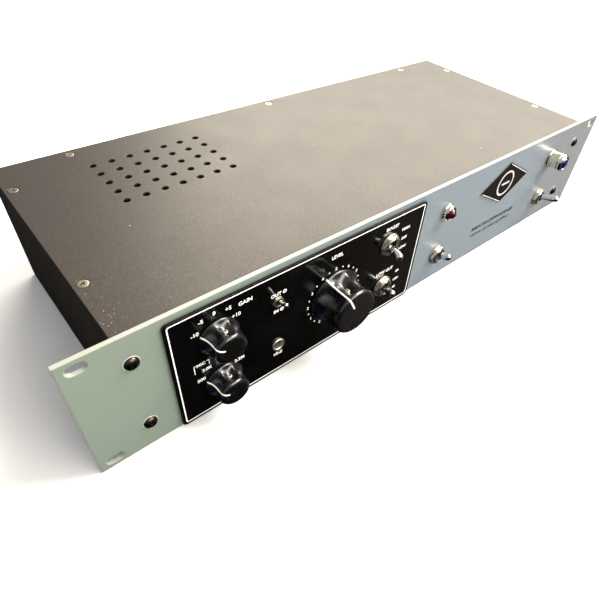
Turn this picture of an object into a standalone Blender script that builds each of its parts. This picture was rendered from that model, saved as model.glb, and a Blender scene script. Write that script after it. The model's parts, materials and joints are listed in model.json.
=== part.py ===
"""Rack-mounting microphone preamp, two rack units high.

Metres, +Z up.  +X runs along the front panel and the front faces -Y.  The origin is the centre of
the bounding box at its bottom face.  Places on the front panel are given as x from the panel's
middle and z from its bottom edge; a depth is counted from the panel's front face, positive towards
the rear, so what stands proud of the panel has a negative depth.
"""
import math

import bmesh
import bpy
from mathutils import Matrix, Vector

MM = 0.001
GAP = 0.3 * MM                      # clearance between pieces that touch
THROUGH = 2 * MM                    # how far a cutter runs past a face

# Front panel: the 19-inch rack standard
PANEL_WIDTH = 482.6 * MM
PANEL_HEIGHT = 88.1 * MM
PANEL_THICKNESS = 3.0 * MM
PANEL_EDGE_ROUND = 0.4 * MM
SLOT_PITCH_X = 465.1 * MM
SLOT_PITCH_Z = 76.2 * MM
SLOT_LENGTH = 10.0 * MM
SLOT_WIDTH = 6.4 * MM
PANEL_SCREW_X = 210.1 * MM
PANEL_SCREW_Z = (19.6 * MM, 69.6 * MM)
PANEL_SCREW_HOLE_R = 2.1 * MM

# Chassis
CHASSIS_WIDTH = 430.2 * MM
CHASSIS_REAR = 185.0 * MM           # depth of the rear panel's outer face
CHASSIS_TOP = 86.3 * MM
SHEET = 1.5 * MM
FLANGE = 14.0 * MM
LID_SCREWS = (
    ("front_left", -209.9 * MM, 47.0 * MM),
    ("front_right", 209.9 * MM, 47.0 * MM),
    ("side_left", -209.9 * MM, 153.0 * MM),
    ("side_right", 209.9 * MM, 153.0 * MM),
    ("rear_left", -166.7 * MM, 179.0 * MM),
    ("rear_middle", 0.0, 179.0 * MM),
    ("rear_right", 166.7 * MM, 179.0 * MM),
)
LID_SCREW_HEAD_R = 3.2 * MM
LID_SCREW_SHANK_R = 1.3 * MM
VENT_PITCH = 12.7 * MM
VENT_COLUMNS = 7
VENT_ROWS = 5
VENT_RADIUS = 2.3 * MM
VENT_FIRST = (-160.1 * MM, 105.1 * MM)

# Control plate that lies on the left half of the panel
PLATE_LEFT = -193.5 * MM
PLATE_RIGHT = -0.1 * MM
PLATE_BOTTOM = 0.4 * MM
PLATE_TOP = 84.2 * MM
PLATE_THICKNESS = 1.5 * MM
PLATE_CORNER = 3.0 * MM
PLATE_FACE = -(GAP + PLATE_THICKNESS)   # depth of its front face

# Centre of each control on the panel
GAIN = (-164.3 * MM, 60.4 * MM)
IMPEDANCE = (-164.5 * MM, 23.3 * MM)
LEVEL = (-80.3 * MM, 43.1 * MM)
POLARITY = (-125.7 * MM, 63.3 * MM)
JACK = (-125.7 * MM, 26.5 * MM)
BOOST = (-33.6 * MM, 63.0 * MM)
LOW_CUT = (-33.6 * MM, 26.0 * MM)
PHANTOM = (29.7 * MM, 24.2 * MM)
LAMP = (29.7 * MM, 63.6 * MM)
JEWEL = (174.0 * MM, 64.8 * MM)
POWER = (177.7 * MM, 24.3 * MM)
BADGE = (103.5 * MM, 63.0 * MM)
BADGE_HALF_WIDTH = 33.0 * MM
BADGE_HALF_HEIGHT = 17.8 * MM
BADGE_THICKNESS = 0.8 * MM

# Knobs and shafts
FLUTES = 8
SHAFT_R = 3.0 * MM
SHAFT_BORE_R = 3.35 * MM
SMALL_POINTER_DEG = 152.0
LEVEL_POINTER_DEG = 116.5

# Toggle switches
PIVOT_DEPTH = 2.0 * MM
THROW_DEG = 17.0
MINI_THROW_DEG = 13.0
BUSHING_R = 5.9 * MM
BUSHING_HOLE_R = 6.2 * MM
MINI_BUSHING_R = 2.7 * MM
MINI_BUSHING_HOLE_R = 3.0 * MM
WASHER_R = 8.25 * MM
WASHER_THICKNESS = 0.8 * MM
NUT_ACROSS_FLATS = 13.0 * MM
NUT_THICKNESS = 2.2 * MM

# Jack, lamps and rear connectors
JACK_BORE_R = 3.25 * MM
JACK_WALL = 2.0 * MM
LAMP_HOLE_R = 5.0 * MM
JEWEL_HOLE_R = 6.8 * MM
CONNECTOR_HOLE_R = 12.0 * MM
CONNECTOR_Z = 46.0 * MM
INPUT_X = 165.0 * MM
OUTPUT_X = 125.0 * MM
INLET_X = -165.0 * MM
INLET_CUTOUT = (27.4 * MM, 20.4 * MM)
FLANGE_PLATE = 1.5 * MM

LEVEL_KNOB_FACE = -23.0 * MM        # the foremost face of the whole object
CONNECTOR_FACE = CHASSIS_REAR + GAP + FLANGE_PLATE   # the rearmost one
PANEL_Y = -(LEVEL_KNOB_FACE + CONNECTOR_FACE) / 2    # the panel's front face in the model

SEGMENTS = 20
SHARP_DEG = 30
OUTWARD = math.radians(90)          # turns a piece's own +Z out of the panel


def at(x, depth, z):
    """World position of a point given by its place and depth behind the panel's front face."""
    return Vector((x, PANEL_Y + depth, z))


# ---------------------------------------------------------------- building blocks

def start():
    """Empty the file and make the two collections."""
    for old in list(bpy.data.objects):
        bpy.data.objects.remove(old, do_unlink=True)
    for name in ("microphone_preamp", "cutters"):
        bpy.context.scene.collection.children.link(bpy.data.collections.new(name))


def material(name, colour, roughness, metallic=0.0):
    made = bpy.data.materials.new(name)
    made.use_nodes = True
    shader = made.node_tree.nodes["Principled BSDF"]
    shader.inputs["Base Color"].default_value = (*colour, 1.0)
    shader.inputs["Roughness"].default_value = roughness
    shader.inputs["Metallic"].default_value = metallic
    return made


def put(name, mesh, finish=None, place=(0, 0, 0), turn=(0, 0, 0)):
    """Add a mesh as an object: a part when it has a finish, otherwise a cutter."""
    made = bpy.data.objects.new(name, mesh)
    made.location = place
    made.rotation_euler = turn
    group = "microphone_preamp" if finish else "cutters"
    bpy.data.collections[group].objects.link(made)
    if finish:
        mesh.materials.append(finish)
    else:
        made.hide_render = True
        made.display_type = "WIRE"
    return made


def block_mesh(low, high):
    """Mesh of a box between two corners."""
    made = bmesh.new()
    bmesh.ops.create_cube(made, size=1.0)
    size = Vector(high) - Vector(low)
    middle = (Vector(high) + Vector(low)) / 2
    bmesh.ops.transform(made, matrix=Matrix.Translation(middle) @ Matrix.Diagonal((*size, 1)),
                        verts=made.verts)
    return finished(made, "block")


def finished(made, name):
    """Mesh from a bmesh, facing outwards, smooth except at its corners."""
    bmesh.ops.recalc_face_normals(made, faces=made.faces)
    mesh = bpy.data.meshes.new(name)
    made.to_mesh(mesh)
    made.free()
    mesh.shade_smooth()
    mesh.set_sharp_from_angle(angle=math.radians(SHARP_DEG))
    return mesh


def block(name, low, high, finish=None):
    return put(name, block_mesh(low, high), finish)


def panel_block(name, x, depths, z, finish=None):
    """A box given by its x range, its depth range and its z range."""
    return block(name, at(x[0], depths[0], z[0]), at(x[1], depths[1], z[1]), finish)


def turned(name, profile, place, finish=None, segments=SEGMENTS, turn=(OUTWARD, 0, 0)):
    """A turned solid.  The profile lists (radius, height) from the top down its outer side."""
    made = bmesh.new()
    corners = [made.verts.new((radius, 0, height)) for radius, height in profile]
    for first, second in zip(corners, corners[1:]):
        made.edges.new((first, second))
    if profile[0][0] > 0 or profile[-1][0] > 0:
        made.edges.new((corners[-1], corners[0]))
    mesh = bpy.data.meshes.new(name)
    made.to_mesh(mesh)
    made.free()
    solid = put(name, mesh, finish, place, turn)
    screw = solid.modifiers.new("turn", "SCREW")
    screw.steps = screw.render_steps = segments
    screw.use_merge_vertices = True
    screw.merge_threshold = 0.01 * MM
    screw.use_smooth_shade = True
    return solid


def rod(name, radius, place, top, bottom, finish=None, segments=SEGMENTS,
        turn=(OUTWARD, 0, 0)):
    """A cylinder between two heights along its own +Z."""
    made = bmesh.new()
    bmesh.ops.create_cone(made, cap_ends=True, segments=segments, radius1=radius, radius2=radius,
                          depth=top - bottom)
    bmesh.ops.translate(made, vec=(0, 0, (top + bottom) / 2), verts=made.verts)
    return put(name, finished(made, name), finish, place, turn)


def flat_curve(name, outline, thickness):
    """2D curve of an (x, y) outline, filled on both sides and centred on its own plane."""
    curve = bpy.data.curves.new(name, "CURVE")
    curve.dimensions = "2D"
    curve.fill_mode = "BOTH"
    curve.extrude = thickness / 2
    spline = curve.splines.new("POLY")
    spline.points.add(len(outline) - 1)
    for point, (x, y) in zip(spline.points, outline):
        point.co = (x, y, 0, 1)
    spline.use_cyclic_u = True
    return curve


def prism(name, outline, depths, finish=None):
    """A plate parallel to the panel: an outline of (x, z) points between two depths."""
    drawn = bpy.data.objects.new(name, flat_curve(name, outline, depths[1] - depths[0]))
    bpy.data.collections["cutters"].objects.link(drawn)
    graph = bpy.context.evaluated_depsgraph_get()
    mesh = bpy.data.meshes.new_from_object(drawn.evaluated_get(graph))
    bpy.data.objects.remove(drawn, do_unlink=True)
    made = bmesh.new()
    made.from_mesh(mesh)
    bmesh.ops.remove_doubles(made, verts=made.verts, dist=0.01 * MM)
    return put(name, finished(made, name), finish, at(0, (depths[0] + depths[1]) / 2, 0),
               (OUTWARD, 0, 0))


def arc(centre, radius, start_deg, end_deg, steps):
    """Points on an arc in the panel's plane."""
    step = math.radians(end_deg - start_deg) / steps
    return [(centre[0] + radius * math.cos(math.radians(start_deg) + step * i),
             centre[1] + radius * math.sin(math.radians(start_deg) + step * i))
            for i in range(steps + 1)]


def slot_outline(x, z, length, width):
    half = (length - width) / 2
    return (arc((x + half, z), width / 2, -90, 90, 6)
            + arc((x - half, z), width / 2, 90, 270, 6))


def rounded_outline(left, right, bottom, top, corner):
    return (arc((right - corner, bottom + corner), corner, -90, 0, 4)
            + arc((right - corner, top - corner), corner, 0, 90, 4)
            + arc((left + corner, top - corner), corner, 90, 180, 4)
            + arc((left + corner, bottom + corner), corner, 180, 270, 4))


def polygon(centre, across_flats, sides):
    """A regular outline with a flat at the bottom, given its distance across flats."""
    radius = across_flats / 2 / math.cos(math.pi / sides)
    first = -90 + 180 / sides
    return arc(centre, radius, first, first + 360 - 360 / sides, sides - 1)


def combine(target, others, operation="DIFFERENCE"):
    """Boolean each of the others with the target."""
    for other in others:
        step = target.modifiers.new(other.name, "BOOLEAN")
        step.operation = operation
        step.object = other
    return target


def hole(name, x, z, radius, depths, segments=SEGMENTS):
    """Cutter for a round hole through a plate that is parallel to the panel."""
    return rod(name, radius, at(x, 0, z), -depths[0] + THROUGH, -depths[1] - THROUGH,
               segments=segments)


def upright_hole(name, x, depth, radius, z_range, segments=SEGMENTS):
    """Cutter for a round hole through a level plate."""
    return rod(name, radius, at(x, depth, 0), z_range[1] + THROUGH, z_range[0] - THROUGH,
               segments=segments, turn=(0, 0, 0))


# ---------------------------------------------------------------- where each control sits

ROTARY_PLACES = {
    "gain": GAIN,
    "impedance": IMPEDANCE,
    "level": LEVEL,
}
TOGGLES = {                         # place, lever length, resting angle above level, on the plate
    "boost": (BOOST, 17.4 * MM, -THROW_DEG, True),
    "low_cut": (LOW_CUT, 17.0 * MM, 0.0, True),
    "phantom": (PHANTOM, 17.0 * MM, THROW_DEG, False),
    "power": (POWER, 23.4 * MM, THROW_DEG, False),
}
POT_BUSHING_R = 4.6 * MM
POT_HOLE_R = 4.9 * MM
JACK_HOLE_R = 4.3 * MM


def plate_holes():
    """Places and radii of the holes that the control plate shares with the panel."""
    places = [(x, z, POT_HOLE_R) for x, z in ROTARY_PLACES.values()]
    places += [(x, z, BUSHING_HOLE_R) for x, z in (BOOST, LOW_CUT)]
    places.append((*POLARITY, MINI_BUSHING_HOLE_R))
    places.append((*JACK, JACK_HOLE_R))
    return places


def panel_holes():
    """Holes that only the panel has."""
    places = [(x, z, BUSHING_HOLE_R) for x, z in (PHANTOM, POWER)]
    places += [(*LAMP, LAMP_HOLE_R), (*JEWEL, JEWEL_HOLE_R)]
    places += [(side * PANEL_SCREW_X, z, PANEL_SCREW_HOLE_R)
               for side in (-1, 1) for z in PANEL_SCREW_Z]
    return places


# ---------------------------------------------------------------- panels and chassis

def front_panel(finish):
    half = PANEL_WIDTH / 2
    panel = panel_block("front_panel", (-half, half), (0, PANEL_THICKNESS), (0, PANEL_HEIGHT),
                        finish)
    bevel = panel.modifiers.new("edges", "BEVEL")
    bevel.width = PANEL_EDGE_ROUND
    bevel.segments = 2
    span = (0, PANEL_THICKNESS)
    cutters = [hole(f"panel_hole_{i}", x, z, radius, span)
               for i, (x, z, radius) in enumerate(plate_holes() + panel_holes())]
    for side in (-1, 1):
        for level in (-1, 1):
            x = side * SLOT_PITCH_X / 2
            z = (PANEL_HEIGHT + level * SLOT_PITCH_Z) / 2
            cutters.append(prism(f"rack_slot_{side}_{level}",
                                 slot_outline(x, z, SLOT_LENGTH, SLOT_WIDTH),
                                 (-THROUGH, PANEL_THICKNESS + THROUGH)))
    combine(panel, cutters)


def control_plate(finish):
    outline = rounded_outline(PLATE_LEFT, PLATE_RIGHT, PLATE_BOTTOM, PLATE_TOP, PLATE_CORNER)
    plate = prism("control_plate", outline, (PLATE_FACE, -GAP), finish)
    combine(plate, [hole(f"plate_hole_{i}", x, z, radius, (PLATE_FACE, 0))
                    for i, (x, z, radius) in enumerate(plate_holes())])


def badge(finish):
    x, z = BADGE
    outline = [(x, z - BADGE_HALF_HEIGHT), (x + BADGE_HALF_WIDTH, z),
               (x, z + BADGE_HALF_HEIGHT), (x - BADGE_HALF_WIDTH, z)]
    prism("badge", outline, (-GAP - BADGE_THICKNESS, -GAP), finish)


def chassis_tray(finish):
    """Folded sheet: floor, side walls, and flanges turned inwards along the front, rear and top."""
    half = CHASSIS_WIDTH / 2
    front = PANEL_THICKNESS + GAP
    rear = CHASSIS_REAR - SHEET - GAP
    top = CHASSIS_TOP - SHEET - GAP
    tray = panel_block("chassis_tray", (-half, half), (front, rear), (0, top), finish)
    inner = half - SHEET
    cavity = panel_block("tray_cavity", (-inner, inner), (front + SHEET, rear - SHEET),
                         (SHEET, top - SHEET))
    mouth = half - FLANGE
    channel = panel_block("tray_mouth", (-mouth, mouth), (front - THROUGH, rear + THROUGH),
                          (SHEET, top + THROUGH))
    cutters = [cavity, channel]
    for side in (-1, 1):
        for i, z in enumerate(PANEL_SCREW_Z):
            cutters.append(hole(f"tray_front_hole_{side}_{i}", side * PANEL_SCREW_X, z,
                                PANEL_SCREW_HOLE_R, (front, front + SHEET), 10))
    for name, x, depth in LID_SCREWS:
        if abs(x) > mouth:
            cutters.append(upright_hole(f"tray_top_hole_{name}", x, depth,
                                        LID_SCREW_SHANK_R + GAP, (top - SHEET, top), 10))
    combine(tray, cutters)


def top_lid(finish):
    half = CHASSIS_WIDTH / 2
    low = CHASSIS_TOP - SHEET
    lid = panel_block("top_lid", (-half, half), (PANEL_THICKNESS + GAP, CHASSIS_REAR),
                      (low, CHASSIS_TOP), finish)
    cutters = []
    for column in range(VENT_COLUMNS):
        for row in range(VENT_ROWS):
            cutters.append(upright_hole(f"vent_{column}_{row}",
                                        VENT_FIRST[0] + column * VENT_PITCH,
                                        VENT_FIRST[1] + row * VENT_PITCH,
                                        VENT_RADIUS, (low, CHASSIS_TOP), 8))
    for name, x, depth in LID_SCREWS:
        wide = LID_SCREW_HEAD_R + GAP
        narrow = LID_SCREW_SHANK_R + GAP
        profile = [(0, CHASSIS_TOP + THROUGH), (wide, CHASSIS_TOP + THROUGH),
                   (wide, CHASSIS_TOP - 0.2 * MM), (narrow, low - 0.5 * MM),
                   (narrow, low - THROUGH), (0, low - THROUGH)]
        cutters.append(turned(f"countersink_{name}", profile, at(x, depth, 0), segments=12,
                              turn=(0, 0, 0)))
    combine(lid, cutters)


def rear_panel(finish):
    """Plate with a flange along its top that the lid's rear screws hold."""
    half = CHASSIS_WIDTH / 2
    top = CHASSIS_TOP - SHEET - GAP
    inner = half - FLANGE - GAP
    plate = panel_block("rear_panel", (-half, half), (CHASSIS_REAR - SHEET, CHASSIS_REAR),
                        (0, top), finish)
    lip = panel_block("rear_lip", (-inner, inner), (CHASSIS_REAR - FLANGE, CHASSIS_REAR - SHEET / 2),
                      (top - SHEET, top))
    combine(plate, [lip], "UNION")
    span = (CHASSIS_REAR - SHEET, CHASSIS_REAR)
    cutters = [hole("input_hole", INPUT_X, CONNECTOR_Z, CONNECTOR_HOLE_R, span),
               hole("output_hole", OUTPUT_X, CONNECTOR_Z, CONNECTOR_HOLE_R, span)]
    wide, high = INLET_CUTOUT
    cutters.append(panel_block("inlet_cutout", (INLET_X - wide / 2, INLET_X + wide / 2),
                               (span[0] - THROUGH, span[1] + THROUGH),
                               (CONNECTOR_Z - high / 2, CONNECTOR_Z + high / 2)))
    for name, x, depth in LID_SCREWS:
        if abs(x) < inner:
            cutters.append(upright_hole(f"lip_hole_{name}", x, depth, LID_SCREW_SHANK_R + GAP,
                                        (top - SHEET, top), 10))
    combine(plate, cutters)


# ---------------------------------------------------------------- fasteners

def lid_screws(finish):
    """Countersunk screws, flush with the lid."""
    head = [(0, 0), (LID_SCREW_HEAD_R, 0), (LID_SCREW_HEAD_R, -0.3 * MM),
            (LID_SCREW_SHANK_R, -2.0 * MM), (LID_SCREW_SHANK_R, -7.0 * MM), (0, -7.0 * MM)]
    for name, x, depth in LID_SCREWS:
        turned(f"lid_screw_{name}", head, at(x, depth, CHASSIS_TOP), finish, 10, (0, 0, 0))


def panel_screws(finish):
    """Button-head screws with a hexagon socket."""
    shank = 1.8 * MM
    head = [(0, 2.4 * MM), (1.9 * MM, 2.3 * MM), (3.1 * MM, 1.7 * MM), (3.8 * MM, 0.9 * MM),
            (4.0 * MM, 0), (shank, 0), (shank, -9.0 * MM), (0, -9.0 * MM)]
    for side_name, side in (("left", -1), ("right", 1)):
        for level_name, z in zip(("lower", "upper"), PANEL_SCREW_Z):
            name = f"panel_screw_{level_name}_{side_name}"
            x = side * PANEL_SCREW_X
            screw = turned(name, head, at(x, -GAP, z), finish, 12)
            socket = prism(f"socket_{name}", polygon((x, z), 2.5 * MM, 6),
                           (-4.0 * MM, -1.3 * MM))
            combine(screw, [socket])


# ---------------------------------------------------------------- rotary controls

def knob(name, rings, bore_depth, place, pointer_deg, finish):
    """Fluted knob.  Each ring is (height, ridge radius, flute radius); the sections go from a
    round skirt through fluted ones to a round cap.  A blind bore below takes the shaft."""
    per_flute = 4
    count = FLUTES * per_flute
    made = bmesh.new()

    def ring(height, ridge, valley):
        points = []
        for i in range(count):
            share = (1 - math.cos(2 * math.pi * i / per_flute)) / 2
            radius = ridge - (ridge - valley) * share
            angle = 2 * math.pi * i / count
            points.append(made.verts.new((radius * math.cos(angle), radius * math.sin(angle),
                                          height)))
        return points

    base = rings[0][0]
    bore = [(base + bore_depth, SHAFT_BORE_R, SHAFT_BORE_R), (base, SHAFT_BORE_R, SHAFT_BORE_R)]
    loops = [ring(*section) for section in bore + rings]
    for lower, upper in zip(loops, loops[1:]):
        for i in range(count):
            j = (i + 1) % count
            made.faces.new((lower[i], lower[j], upper[j], upper[i]))
    made.faces.new(loops[0])
    made.faces.new(loops[-1])
    # +Z is turned out of the panel, so the knob's own +X stays along the panel's x
    return put(name, finished(made, name), finish, place,
               (OUTWARD, math.radians(-pointer_deg), 0))


def small_knob_rings():
    skirt = 2.2 * MM
    return [(skirt, 12.2 * MM, 12.2 * MM), (skirt + 1.0 * MM, 12.0 * MM, 11.8 * MM),
            (5.1 * MM, 10.8 * MM, 9.0 * MM), (7.6 * MM, 10.1 * MM, 7.6 * MM),
            (10.4 * MM, 9.9 * MM, 7.6 * MM), (12.6 * MM, 9.8 * MM, 8.9 * MM),
            (13.6 * MM, 9.5 * MM, 9.5 * MM), (14.8 * MM, 8.8 * MM, 8.8 * MM),
            (15.5 * MM, 7.4 * MM, 7.4 * MM)]


def level_knob_rings():
    skirt = 2.2 * MM
    face = -LEVEL_KNOB_FACE
    return [(skirt, 19.4 * MM, 19.4 * MM), (skirt + 1.2 * MM, 19.0 * MM, 18.6 * MM),
            (6.0 * MM, 17.2 * MM, 14.6 * MM), (10.0 * MM, 16.4 * MM, 12.2 * MM),
            (15.0 * MM, 16.0 * MM, 12.2 * MM), (19.0 * MM, 16.2 * MM, 14.6 * MM),
            (20.6 * MM, 16.3 * MM, 16.3 * MM), (22.2 * MM, 15.8 * MM, 15.8 * MM),
            (face, 14.6 * MM, 14.6 * MM)]


def rotary_controls(bakelite, metal):
    """Knob, shaft and switch or potentiometer body of each rotary control."""
    for name, (x, z) in ROTARY_PLACES.items():
        big = name == "level"
        bore_depth = (12.0 if big else 9.0) * MM
        rings = level_knob_rings() if big else small_knob_rings()
        pointer = LEVEL_POINTER_DEG if big else SMALL_POINTER_DEG
        knob(f"{name}_knob", rings, bore_depth, at(x, 0, z), pointer, bakelite)
        tip = rings[0][0] + bore_depth - GAP
        tail = -10.0 * MM
        rod(f"{name}_shaft", SHAFT_R, at(x, 0, z), tip, tail, metal, 18)
        rotary_body(name, x, z, 12.5 * MM if big else 15.0 * MM, metal)


def rotary_body(name, x, z, half, metal):
    """Case behind the panel with a threaded bushing through it and a bore for the shaft."""
    back = PANEL_THICKNESS + GAP
    case = panel_block(f"{name}_control_case", (x - half, x + half), (back, back + 14.0 * MM),
                       (z - half, z + half), metal)
    front = -PLATE_FACE + 0.1 * MM
    bushing = rod(f"{name}_bushing", POT_BUSHING_R, at(x, 0, z), front, -back - 1.0 * MM)
    bore = rod(f"{name}_bore", SHAFT_BORE_R, at(x, 0, z), front + THROUGH, -11.0 * MM)
    combine(case, [bushing], "UNION")
    combine(case, [bore])


# ---------------------------------------------------------------- toggle switches

def lever_profile(length, tip, neck, ball):
    """Bat-shaped handle from its rounded tip down to the ball that it pivots on."""
    return [(0, length), (tip * 0.55, length - tip * 0.15), (tip * 0.9, length - tip * 0.5),
            (tip, length - tip), (tip * 0.97, length - 2.2 * tip), (neck, ball * 3.1),
            (neck * 0.9, ball * 1.25), (ball * 0.9, ball * 0.5), (ball, 0),
            (ball * 0.7, -ball * 0.7), (0, -ball)]


def toggle_switch(name, x, z, rest_deg, lever, bushing_r, mouth_r, case_half, metal, chrome):
    """Lever, and case with a bushing that is bored wide enough for the lever's throw."""
    back = PANEL_THICKNESS + GAP
    length, tip, neck, ball, front = lever
    turned(f"{name}_lever", lever_profile(length, tip, neck, ball), at(x, PIVOT_DEPTH, z),
           chrome, 12, (OUTWARD - math.radians(rest_deg), 0, 0))
    half_x, half_z = case_half
    case = panel_block(f"{name}_switch_case", (x - half_x, x + half_x), (back, back + 17.0 * MM),
                       (z - half_z, z + half_z), metal)
    bushing = rod(f"{name}_bushing", bushing_r, at(x, 0, z), front, -back - 1.0 * MM)
    socket = ball + 0.35 * MM
    profile = [(0, front + THROUGH), (mouth_r, front + THROUGH), (mouth_r, front),
               (socket, -PIVOT_DEPTH + ball), (socket, -PIVOT_DEPTH - ball - 0.4 * MM),
               (0, -PIVOT_DEPTH - ball - 0.4 * MM)]
    bore = turned(f"{name}_bore", profile, at(x, 0, z))
    combine(case, [bushing], "UNION")
    combine(case, [bore])


def ring_nut(name, x, z, across_flats, inner, face, thickness, finish):
    nut = prism(name, polygon((x, z), across_flats, 6), (face - thickness, face), finish)
    combine(nut, [hole(f"bore_{name}", x, z, inner, (face - thickness, face))])


def large_toggles(metal, chrome):
    for name, ((x, z), length, rest_deg, on_plate) in TOGGLES.items():
        face = PLATE_FACE if on_plate else 0.0
        inner = BUSHING_R + GAP
        washer_face = face - GAP
        outer = washer_face - WASHER_THICKNESS
        ring = [(inner, -outer), (WASHER_R, -outer), (WASHER_R, -washer_face),
                (inner, -washer_face)]
        turned(f"{name}_washer", ring, at(x, 0, z), chrome)
        nut_face = outer - GAP
        ring_nut(f"{name}_nut", x, z, NUT_ACROSS_FLATS, inner, nut_face, NUT_THICKNESS, chrome)
        front = -nut_face + NUT_THICKNESS + 0.7 * MM
        toggle_switch(name, x, z, rest_deg, (length, 2.75 * MM, 2.35 * MM, 2.9 * MM, front),
                      BUSHING_R, 5.1 * MM, (8.0 * MM, 13.0 * MM), metal, chrome)


def polarity_toggle(metal, chrome):
    """Miniature two-way switch."""
    nut_face = PLATE_FACE - GAP
    thickness = 1.2 * MM
    ring_nut("polarity_nut", *POLARITY, 6.7 * MM, MINI_BUSHING_R + GAP, nut_face, thickness,
             chrome)
    front = -nut_face + thickness + 0.3 * MM
    toggle_switch("polarity", *POLARITY, MINI_THROW_DEG,
                  (13.6 * MM, 1.45 * MM, 0.85 * MM, 1.6 * MM, front),
                  MINI_BUSHING_R, 2.35 * MM, (3.5 * MM, 6.5 * MM), metal, chrome)


# ---------------------------------------------------------------- jack, lamps and rear sockets

def instrument_jack(case_finish, metal):
    """Quarter-inch socket: a metal ferrule in the panel and the jack's hollow case behind it."""
    face = -PLATE_FACE + GAP
    back = PANEL_THICKNESS
    lip = 1.1 * MM
    barrel = JACK_HOLE_R - GAP
    ring = [(JACK_BORE_R, face + lip), (4.3 * MM, face + lip), (4.6 * MM, face + lip - 0.3 * MM),
            (4.6 * MM, face), (barrel, face), (barrel, -back), (JACK_BORE_R, -back)]
    x, z = JACK
    turned("jack_ferrule", ring, at(x, 0, z), metal)
    half = 8.0 * MM
    front = back + GAP
    case = panel_block("jack_case", (x - half, x + half), (front, front + 25.0 * MM),
                       (z - half, z + half), case_finish)
    hollow = half - JACK_WALL
    combine(case, [panel_block("jack_hollow", (x - hollow, x + hollow),
                               (front - THROUGH, front + 25.0 * MM - JACK_WALL),
                               (z - hollow, z + hollow))])


def lamp(name, place, bezel, lens, chrome, glass, segments=16):
    """Bezel whose barrel runs through the panel, and the coloured lens that sits in it."""
    turned(f"{name}_bezel", bezel, at(place[0], 0, place[1]), chrome, segments)
    turned(f"{name}_lens", lens, at(place[0], 0, place[1]), glass, segments)


def lamps(chrome, red, blue):
    red_bezel = [(4.7 * MM, 4.6 * MM), (5.3 * MM, 4.2 * MM), (5.8 * MM, 2.0 * MM),
                 (7.0 * MM, 1.3 * MM), (7.0 * MM, GAP), (4.7 * MM, GAP), (4.7 * MM, -12 * MM),
                 (3.0 * MM, -12 * MM), (3.0 * MM, 1.5 * MM), (4.7 * MM, 1.5 * MM)]
    red_lens = [(0, 7.6 * MM), (1.8 * MM, 7.2 * MM), (3.3 * MM, 6.0 * MM), (4.2 * MM, 4.2 * MM),
                (4.4 * MM, 1.8 * MM), (0, 1.8 * MM)]
    lamp("phantom_lamp", LAMP, red_bezel, red_lens, chrome, red)
    blue_bezel = [(5.6 * MM, 13.6 * MM), (6.4 * MM, 13.4 * MM), (7.5 * MM, 11.6 * MM),
                  (7.5 * MM, 1.6 * MM), (8.4 * MM, 1.0 * MM), (8.4 * MM, GAP), (6.5 * MM, GAP),
                  (6.5 * MM, -16 * MM), (4.0 * MM, -16 * MM), (4.0 * MM, 9.0 * MM),
                  (5.6 * MM, 9.0 * MM)]
    blue_lens = [(0, 15.2 * MM), (2.6 * MM, 14.9 * MM), (4.6 * MM, 13.9 * MM),
                 (5.3 * MM, 12.8 * MM), (5.3 * MM, 9.3 * MM), (0, 9.3 * MM)]
    lamp("power_lamp", JEWEL, blue_bezel, blue_lens, chrome, blue)


def connector_shell(name, x, finish):
    """Flange outside the rear panel and a round shell that runs into the chassis."""
    half_x, half_z = 13.0 * MM, 15.5 * MM
    inner_face = CHASSIS_REAR + GAP
    shell = panel_block(name, (x - half_x, x + half_x), (inner_face, CONNECTOR_FACE),
                        (CONNECTOR_Z - half_z, CONNECTOR_Z + half_z), finish)
    barrel = rod(f"barrel_{name}", CONNECTOR_HOLE_R - GAP, at(x, 0, CONNECTOR_Z),
                 -CHASSIS_REAR + 20 * MM, -inner_face - FLANGE_PLATE / 2)
    return combine(shell, [barrel], "UNION")


def contact_places(x, radius):
    return arc((x, CONNECTOR_Z), radius, 30, 270, 2)


def rear_connectors(finish, metal):
    """Three-pin microphone socket, three-pin line plug and mains inlet."""
    pin_circle = 4.9 * MM
    face = -CONNECTOR_FACE
    socket = connector_shell("input_connector", INPUT_X, metal)
    groove = turned("input_groove", [(9.6 * MM, face + 2.5 * MM), (9.6 * MM, face - THROUGH),
                                     (8.6 * MM, face - THROUGH), (8.6 * MM, face + 2.5 * MM)],
                    at(INPUT_X, 0, CONNECTOR_Z))
    cutters = [groove]
    for i, (x, z) in enumerate(contact_places(INPUT_X, pin_circle)):
        cutters.append(rod(f"input_contact_{i}", 1.5 * MM, at(x, 0, z), face + 12 * MM,
                           face - THROUGH, segments=12))
    combine(socket, cutters)

    plug = connector_shell("output_connector", OUTPUT_X, metal)
    combine(plug, [rod("output_well", 9.3 * MM, at(OUTPUT_X, 0, CONNECTOR_Z), face + 15 * MM,
                       face - THROUGH)])
    pins = [rod(f"output_pin_{i}", 1.2 * MM, at(x, 0, z), face + 16 * MM, face + 2 * MM,
                segments=10)
            for i, (x, z) in enumerate(contact_places(OUTPUT_X, pin_circle))]
    combine(plug, pins, "UNION")
    mains_inlet(finish)


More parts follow.
